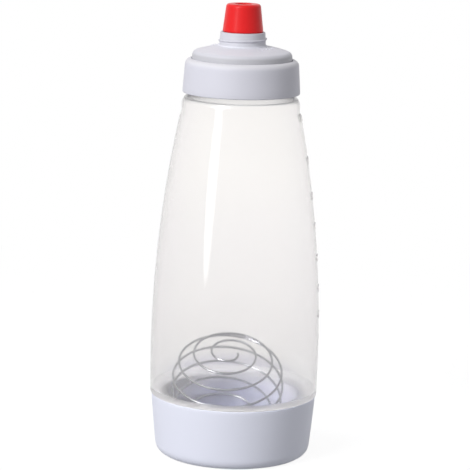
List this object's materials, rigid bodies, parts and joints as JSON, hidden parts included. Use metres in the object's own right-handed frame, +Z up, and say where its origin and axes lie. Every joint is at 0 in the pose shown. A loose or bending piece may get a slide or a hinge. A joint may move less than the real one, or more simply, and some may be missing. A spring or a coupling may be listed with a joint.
{
  "type": "batter dispenser",
  "caption": "Clear squeeze bottle for batter with a screw-on base, a screw lid with a soft nozzle and slit valve, and a loose wire whisk ball inside.",
  "frame": {"origin": "centre of the foot ring that the bottle stands on", "axes": "+Z up along the bottle's axis, -Y the front that the picture shows, +X the side with the graduation marks"},
  "size_m": [0.094, 0.094, 0.2522],
  "materials": {
    "white_plastic": "satin moulded",
    "clear_plastic": "clear with a light haze",
    "red_silicone": "satin silicone",
    "clear_silicone": "milky silicone",
    "steel_wire": "bright drawn wire"
  },
  "bodies": {
    "base": {"base_cap": "white_plastic"},
    "base_seal": {"base_gasket": "clear_silicone"},
    "bottle": {"bottle": "clear_plastic"},
    "lid": {"lid_gasket": "clear_silicone", "spout_dome": "white_plastic", "nozzle": "red_silicone", "slit_valve": "clear_silicone", "nozzle_retainer": "white_plastic"},
    "collar": {"screw_collar": "white_plastic"},
    "ball": {"whisk_ball": "steel_wire"}
  },
  "joints": [
    {"name": "bottle_lift", "type": "slide", "parent": "base", "child": "base_seal", "axis": [0, 0, 1], "range_m": [0, 0.006]},
    {"name": "bottle_turn", "type": "hinge", "parent": "base_seal", "child": "bottle", "pos_m": [0, 0, 0.0344], "axis": [0, 0, 1], "range_deg": [0, 450]},
    {"name": "lid_lift", "type": "slide", "parent": "bottle", "child": "lid", "axis": [0, 0, 1], "range_m": [0, 0.006]},
    {"name": "collar_turn", "type": "hinge", "parent": "lid", "child": "collar", "pos_m": [0, 0, 0.211], "axis": [0, 0, 1], "range_deg": [0, 540]},
    {"name": "ball_rise", "type": "slide", "parent": "base", "child": "ball", "axis": [0, 0, 1], "range_m": [0, 0.08]}
  ],
  "couplings": [
    {"joint": "bottle_lift", "follows": "bottle_turn", "m_per_rad": 0.00076394},
    {"joint": "lid_lift", "follows": "collar_turn", "m_per_rad": 0.00063662}
  ]
}
